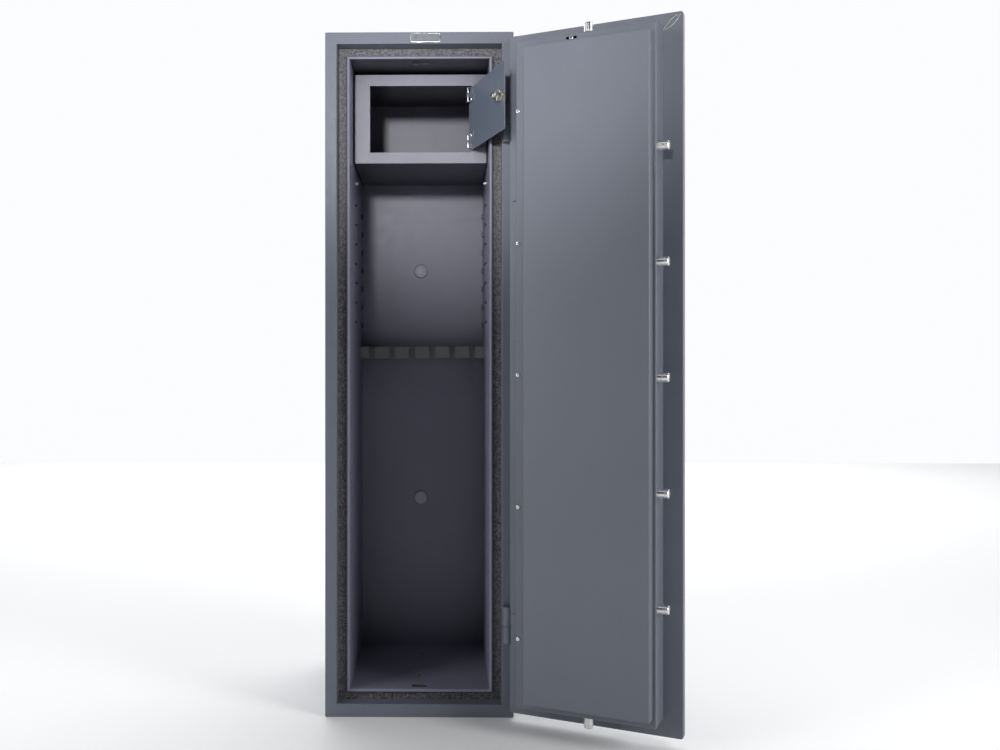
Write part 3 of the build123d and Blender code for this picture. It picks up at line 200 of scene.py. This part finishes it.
# ---- materials --------------------------------------------------------------------------------------
class Nodes:
    """A short way to write a material's nodes."""

    def __init__(self, name):
        self.material = bpy.data.materials.new(name)
        self.material.use_nodes = True
        self.tree = self.material.node_tree
        self.shader = self.tree.nodes["Principled BSDF"]
        self.place = self.add("ShaderNodeTexCoord").outputs["Object"]

    def add(self, kind, **settings):
        node = self.tree.nodes.new(kind)
        for key, value in settings.items():
            setattr(node, key, value)
        return node

    def join(self, out, into):
        self.tree.links.new(out, into)

    def scaled(self, factors):
        """The object's coordinates, stretched."""
        mapping = self.add("ShaderNodeMapping")
        mapping.inputs["Scale"].default_value = factors
        self.join(self.place, mapping.inputs["Vector"])
        return mapping.outputs["Vector"]

    def noise(self, scale, detail=2.0, roughness=0.5, vector=None):
        node = self.add("ShaderNodeTexNoise")
        node.inputs["Scale"].default_value = scale
        node.inputs["Detail"].default_value = detail
        node.inputs["Roughness"].default_value = roughness
        self.join(vector or self.place, node.inputs["Vector"])
        return node.outputs["Fac"]

    def ranged(self, value, low, high, start=0.0, end=1.0):
        node = self.add("ShaderNodeMapRange")
        node.inputs["From Min"].default_value = start
        node.inputs["From Max"].default_value = end
        node.inputs["To Min"].default_value = low
        node.inputs["To Max"].default_value = high
        self.join(value, node.inputs["Value"])
        return node.outputs["Result"]

    def mixed(self, factor, first, second):
        """A colour between two colours; each may be a tuple or another node's output."""
        node = self.add("ShaderNodeMix", data_type="RGBA")
        self.join(factor, node.inputs["Factor"])
        for entry, value in ((6, first), (7, second)):
            if isinstance(value, tuple):
                node.inputs[entry].default_value = (*value, 1)
            else:
                self.join(value, node.inputs[entry])
        return node.outputs[2]

    def product(self, first, second):
        node = self.add("ShaderNodeMath", operation="MULTIPLY")
        self.join(first, node.inputs[0])
        if isinstance(second, float):
            node.inputs[1].default_value = second
        else:
            self.join(second, node.inputs[1])
        return node.outputs[0]

    def edges(self, radius):
        """1 on edges and folds, 0 on flat faces."""
        bevel = self.add("ShaderNodeBevel", samples=4)
        bevel.inputs["Radius"].default_value = radius
        true_normal = self.add("ShaderNodeNewGeometry").outputs["Normal"]
        dot = self.add("ShaderNodeVectorMath", operation="DOT_PRODUCT")
        self.join(bevel.outputs["Normal"], dot.inputs[0])
        self.join(true_normal, dot.inputs[1])
        return self.ranged(dot.outputs["Value"], 1.0, 0.0, 0.86, 0.995), bevel.outputs["Normal"]

    def painted_shade(self):
        """0 on faces that look down and in tight corners, where painted shade goes; 1 in the open."""
        normal = self.add("ShaderNodeNewGeometry").outputs["Normal"]
        parts = self.add("ShaderNodeSeparateXYZ")
        self.join(normal, parts.inputs["Vector"])
        under = self.ranged(parts.outputs["Z"], 0.0, 1.0, -0.75, -0.25)
        corner = self.add("ShaderNodeAmbientOcclusion", samples=6)
        corner.inputs["Distance"].default_value = 0.16
        open_air = self.ranged(corner.outputs["AO"], 0.0, 1.0, 0.05, 0.55)
        return self.product(under, open_air)

    def bump(self, height, strength, distance, normal=None):
        node = self.add("ShaderNodeBump")
        node.inputs["Strength"].default_value = strength
        node.inputs["Distance"].default_value = distance
        self.join(height, node.inputs["Height"])
        if normal is not None:
            self.join(normal, node.inputs["Normal"])
        return node.outputs["Normal"]

    def finish(self, colour, roughness, normal=None):
        self.join(colour, self.shader.inputs["Base Color"])
        self.join(roughness, self.shader.inputs["Roughness"])
        if normal is not None:
            self.join(normal, self.shader.inputs["Normal"])
        return self.material


def shade(colour, factor):
    return tuple(c * factor for c in colour)


def powder_paint(name, colour, rough=0.42, grain=900.0, depth=0.00005, mottle=0.10,
                 painted_shade=False):
    """Satin powder paint: fine orange peel, cloudy tone, a painted highlight on the folds, and painted
    shade if asked.
    """
    n = Nodes(name)
    clouds = n.noise(3.0, 4.0, 0.6)
    specks = n.noise(grain * 0.9, 2.0, 0.7)
    tone = n.mixed(clouds, shade(colour, 1 - mottle), shade(colour, 1 + mottle))
    tone = n.mixed(n.ranged(specks, 0.0, 0.35, 0.35, 0.75), tone, shade(colour, 1.5))
    edge, rounded = n.edges(0.0012)
    # Painted highlight: edges and folds are made up to 2.4 times paler, standing in for light caught
    # on them.
    tone = n.mixed(n.product(edge, 0.75), tone, shade(colour, 2.4))
    if painted_shade:
        # Painted shade: faces that look down and tight corners are darkened towards 0.22 of the
        # colour.
        tone = n.mixed(n.painted_shade(), shade(colour, 0.22), tone)
    peel = n.noise(grain, 3.0, 0.6)
    ripple = n.noise(grain * 0.22, 2.0, 0.5)
    normal = n.bump(peel, 0.30, depth, n.bump(ripple, 0.22, depth * 4, rounded))
    smear = n.noise(38.0, 4.0, 0.55)
    roughness = n.ranged(smear, rough - 0.02, rough + 0.03, 0.3, 0.7)
    n.shader.inputs["Specular IOR Level"].default_value = 0.45
    return n.finish(tone, roughness, normal)


def hammered_paint(name, colour):
    """Coarse splattered paint: dark with paler raised flecks."""
    n = Nodes(name)
    flecks = n.noise(230.0, 3.0, 0.7)
    cells = n.add("ShaderNodeTexVoronoi", feature="F1")
    cells.inputs["Scale"].default_value = 190.0
    n.join(n.place, cells.inputs["Vector"])
    tone = n.mixed(n.ranged(flecks, 0.0, 1.0, 0.42, 0.60), shade(colour, 0.35), shade(colour, 2.3))
    clouds = n.noise(9.0, 3.0, 0.5)
    tone = n.mixed(n.ranged(clouds, 0.0, 0.35, 0.3, 0.7), tone, colour)
    normal = n.bump(cells.outputs["Distance"], 0.75, 0.0006, n.bump(flecks, 0.8, 0.0005))
    roughness = n.ranged(flecks, 0.38, 0.6, 0.3, 0.7)
    return n.finish(tone, roughness, normal)


def plated_metal(name, colour, rough=0.14, turned=(40.0, 40.0, 900.0)):
    """Bright plating over turned steel: fine rings, faint haze, handling marks and a painted highlight
    on the edges.
    """
    n = Nodes(name)
    rings = n.noise(1.0, 3.0, 0.6, n.scaled(turned))
    haze = n.noise(60.0, 4.0, 0.6)
    tone = n.mixed(n.ranged(haze, 0.0, 0.5, 0.35, 0.75), colour, shade(colour, 0.72))
    edge, rounded = n.edges(0.0005)
    # Painted highlight: edges are given a 1.15 times brighter colour.
    tone = n.mixed(n.product(edge, 0.5), tone, shade(colour, 1.15))
    roughness = n.ranged(haze, rough * 0.7, rough * 1.9, 0.3, 0.7)
    n.shader.inputs["Metallic"].default_value = 1.0
    return n.finish(tone, roughness, n.bump(rings, 0.12, 0.00004, rounded))


def bare_steel(name, colour, rough=0.35):
    """Rolled steel sheet: streaks along the rolling direction, darker scale in places."""
    n = Nodes(name)
    streaks = n.noise(1.0, 4.0, 0.6, n.scaled((60.0, 60.0, 900.0)))
    scale_marks = n.noise(25.0, 5.0, 0.7)
    tone = n.mixed(n.ranged(scale_marks, 0.0, 0.7, 0.4, 0.75), colour, shade(colour, 0.55))
    tone = n.mixed(n.ranged(streaks, 0.0, 0.3, 0.3, 0.7), tone, shade(colour, 1.2))
    n.shader.inputs["Metallic"].default_value = 1.0
    roughness = n.ranged(scale_marks, rough, rough + 0.25, 0.3, 0.7)
    return n.finish(tone, roughness, n.bump(streaks, 0.2, 0.00005))


def cast_fill(name, colour):
    """Cast concrete-like fill with grains and small pores."""
    n = Nodes(name)
    grains = n.noise(500.0, 6.0, 0.75)
    stains = n.noise(12.0, 5.0, 0.6)
    tone = n.mixed(n.ranged(grains, 0.0, 1.0, 0.3, 0.7), shade(colour, 0.7), shade(colour, 1.25))
    tone = n.mixed(n.ranged(stains, 0.0, 0.4, 0.4, 0.7), tone, shade(colour, 0.6))
    roughness = n.ranged(grains, 0.8, 0.98, 0.3, 0.7)
    return n.finish(tone, roughness, n.bump(grains, 0.6, 0.0004))


def moulded_plastic(name, colour):
    """Moulded plastic: fine even texture, slightly glossy where it has been handled."""
    n = Nodes(name)
    texture = n.noise(1500.0, 2.0, 0.5)
    handled = n.noise(30.0, 3.0, 0.6)
    tone = n.mixed(n.ranged(handled, 0.0, 0.4, 0.3, 0.7), colour, shade(colour, 1.4))
    roughness = n.ranged(handled, 0.32, 0.5, 0.3, 0.7)
    edge, rounded = n.edges(0.0006)
    return n.finish(tone, roughness, n.bump(texture, 0.25, 0.00004, rounded))


MATERIALS = {
    "frame_paint": powder_paint("frame_paint", (0.116, 0.129, 0.163)),
    "textured_paint": hammered_paint("textured_paint", (0.075, 0.075, 0.080)),
    # The liner and the compartment get painted shade on faces that look down and in tight corners.
    "liner_paint": powder_paint("liner_paint", (0.185, 0.188, 0.250), painted_shade=True),
    "rack_paint": powder_paint("rack_paint", (0.165, 0.167, 0.172)),
    "treasury_paint": powder_paint("treasury_paint", (0.225, 0.225, 0.278), grain=650.0,
                                   depth=0.00009, mottle=0.16, painted_shade=True),
    "door_paint": powder_paint("door_paint", (0.128, 0.140, 0.172), rough=0.38),
    "treasury_door_paint": powder_paint("treasury_door_paint", (0.112, 0.132, 0.172), rough=0.36),
    "badge_metal": plated_metal("badge_metal", (0.16, 0.165, 0.18), 0.34, (900.0, 40.0, 40.0)),
    "fill": cast_fill("fill", (0.34, 0.33, 0.31)),
    "plain_steel": bare_steel("plain_steel", (0.42, 0.42, 0.41)),
    "bolt_chrome": plated_metal("bolt_chrome", (0.86, 0.86, 0.87), 0.22),
    "screw_zinc": plated_metal("screw_zinc", (0.82, 0.82, 0.83), 0.18, (700.0, 700.0, 700.0)),
    "lock_brass": plated_metal("lock_brass", (0.72, 0.52, 0.20), 0.22, (700.0, 700.0, 700.0)),
    "handle_metal": powder_paint("handle_metal", (0.020, 0.020, 0.022), rough=0.34, grain=1200.0),
    # Near-black plastic of the hole plugs; the black is partly painted shade, standing in for the
    # shaded undersides of the shelf lugs.
    "cap_plastic": moulded_plastic("cap_plastic", (0.030, 0.031, 0.035)),
    "pale_cap": moulded_plastic("pale_cap", (0.36, 0.37, 0.41)),
}


def paint_nodes():
    """Give every CAD node the procedural material of its slot."""
    for entry in frame["record"]["subparts"]:
        for slot in NODES[entry["node"]].material_slots:
            slot.material = MATERIALS[entry["material_slot"]]


# ---- detailed pieces --------------------------------------------------------------------------------
def shown(name, mesh, material, body):
    """Put a finished mesh in the scene, riding on a body."""
    piece = bpy.data.objects.new(name, mesh)
    bpy.context.scene.collection.objects.link(piece)
    mesh.materials.append(material)
    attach(piece, body)
    return piece


def join_rings(bm, rings, sides):
    """Faces between each ring of vertices and the next one."""
    for first, second in zip(rings, rings[1:]):
        for side in range(sides):
            after = (side + 1) % sides
            bm.faces.new((first[side], first[after], second[after], second[side]))


def tube(bm, points, radii, sides=8, flat=1.0, facing=Vector((0, -1, 0))):
    """A bead along points: each ring has its own radius, and flat squeezes it towards its bed."""
    rings = []
    for index, point in enumerate(points):
        before = points[max(index - 1, 0)]
        after = points[min(index + 1, len(points) - 1)]
        along = (after - before).normalized()
        across = along.cross(facing).normalized()
        up = across.cross(along).normalized()
        ring = []
        for side in range(sides):
            angle = 2 * math.pi * side / sides
            offset = across * math.cos(angle) + up * math.sin(angle) * flat
            ring.append(bm.verts.new(point + offset * radii[index]))
        rings.append(ring)
    join_rings(bm, rings, sides)
    bm.faces.new(rings[0][::-1])
    bm.faces.new(rings[-1])


def mesh_of(bm, name):
    bmesh.ops.recalc_face_normals(bm, faces=bm.faces)
    mesh = bpy.data.meshes.new(name)
    bm.to_mesh(mesh)
    bm.free()
    mesh.polygons.foreach_set("use_smooth", [True] * len(mesh.polygons))
    return mesh


def weld_bead(bm, start, end, radius, facing, seed):
    """A hand-laid weld: overlapping ripples along a line, uneven in width."""
    rng = random.Random(seed)
    length = (end - start).length
    count = max(12, int(length / (radius * 0.35)))
    points, radii = [], []
    for index in range(count + 1):
        share = index / count
        ripple = 0.86 + 0.14 * abs(math.sin(share * length / (radius * 1.3) * math.pi))
        taper = min(1.0, 0.35 + 8 * min(share, 1 - share))
        points.append(start.lerp(end, share) + Vector([rng.uniform(-1, 1) * radius * 0.08] * 3))
        radii.append(radius * ripple * taper * rng.uniform(0.94, 1.06))
    tube(bm, points, radii, 10, 0.7, facing)


def add_weld(name, lines, body, seed):
    """Several welds as one painted piece; each line is start, end, radius and the way it faces."""
    bm = bmesh.new()
    for index, (start, end, radius, facing) in enumerate(lines):
        weld_bead(bm, start, end, radius, facing, seed + index)
    return shown(name, mesh_of(bm, name), MATERIALS["frame_paint"], body)


def hinge_welds():
    """Fillet welds down both sides of the frame's knuckles, at the frame's face."""
    y = FRONT_Y - WELD_RADIUS * 0.3
    front = Vector((0, -1, 0))
    lines = []
    for middle in (KNUCKLES_LOW.z + KNUCKLE_HALF, KNUCKLES_HIGH.z - KNUCKLE_HALF):
        for side in (-1, 1):
            start = Vector((HINGE.x + side * WELD_OFFSET, y, middle - WELD_HALF))
            lines.append((start, start + UP * 2 * WELD_HALF, WELD_RADIUS, front))
    add_weld("hinge_welds", lines, "cabinet", 11)


def rear_welds():
    """Short stitch welds that hold the rear sheet, along its two upright edges."""
    rear = Vector((0, 1, 0))
    lines = []
    for x in (SHELL_LOW.x + REAR_WELD_INSET, SHELL_HIGH.x - REAR_WELD_INSET):
        for index in range(REAR_WELD_COUNT):
            z = HEIGHT * (index + 0.5) / REAR_WELD_COUNT
            start = Vector((x, REAR_Y, z - REAR_WELD_HALF))
            lines.append((start, start + UP * 2 * REAR_WELD_HALF, REAR_WELD_RADIUS, rear))
    add_weld("rear_welds", lines, "cabinet", 40)


def border_weld():
    """Two thin beads where the leaf's folded corner is closed, at the top of its free side."""
    bm = bmesh.new()
    facing = DOOR_TURN @ Vector((0, 1, 0))
    for bend in (-1, 1):
        points, radii = [], []
        for index in range(CORNER_STEPS + 1):
            share = index / CORNER_STEPS
            bow = bend * CORNER_BOW * math.sin(math.pi * share)
            flat = CORNER_START.lerp(CORNER_END, share) + Vector((bow, 0, bow))
            points.append(on_door(flat))
            radii.append(CORNER_BEAD * (0.5 + math.sin(math.pi * share) * 0.5))
        tube(bm, points, radii, 8, 0.6, facing)
    shown("border_weld", mesh_of(bm, "border_weld"), MATERIALS["plain_steel"], "door")


def badge_rim():
    """A bright rounded wire round the blank badge."""
    low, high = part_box("badge_plate")
    y = low.y + RIM_RADIUS * RIM_FLATNESS
    left, right = low.x + RIM_CORNER, high.x - RIM_CORNER
    bottom, top = low.z + RIM_CORNER, high.z - RIM_CORNER
    points = []
    for quarter, (x, z) in enumerate(((right, top), (left, top), (left, bottom), (right, bottom))):
        for step in range(RIM_CORNER_STEPS + 1):
            angle = math.radians(90 * (quarter + step / RIM_CORNER_STEPS))
            reach = Vector((math.cos(angle), 0, math.sin(angle))) * RIM_CORNER
            points.append(Vector((x, y, z)) + reach)
    points.append(points[0].copy())
    bm = bmesh.new()
    tube(bm, points, [RIM_RADIUS] * len(points), 8, RIM_FLATNESS)
    shown("badge_rim", mesh_of(bm, "badge_rim"), MATERIALS["bolt_chrome"], "cabinet")


def anchor_domes():
    """The soft domed faces of the two anchor caps."""
    low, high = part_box("anchor_caps")
    cap_radius = (high.x - low.x) / 2
    x = low.x + cap_radius
    bm = bmesh.new()
    for z in (low.z + cap_radius, high.z - cap_radius):
        rings = []
        for step in range(1, DOME_RINGS + 1):
            share = step / DOME_RINGS
            y = low.y - DOME_RISE * (1 - share ** 2)
            reach = (cap_radius - DOME_INSET) * share
            ring = []
            for side in range(DOME_SIDES):
                angle = 2 * math.pi * side / DOME_SIDES
                place = (x + reach * math.cos(angle), y, z + reach * math.sin(angle))
                ring.append(bm.verts.new(place))
            rings.append(ring)
        bm.faces.new(rings[0])
        join_rings(bm, rings, DOME_SIDES)
    shown("anchor_domes", mesh_of(bm, "anchor_domes"), MATERIALS["pale_cap"], "cabinet")


make_camera()
make_light()
make_floor()
paint_nodes()
hinge_welds()
rear_welds()
border_weld()
badge_rim()
anchor_domes()
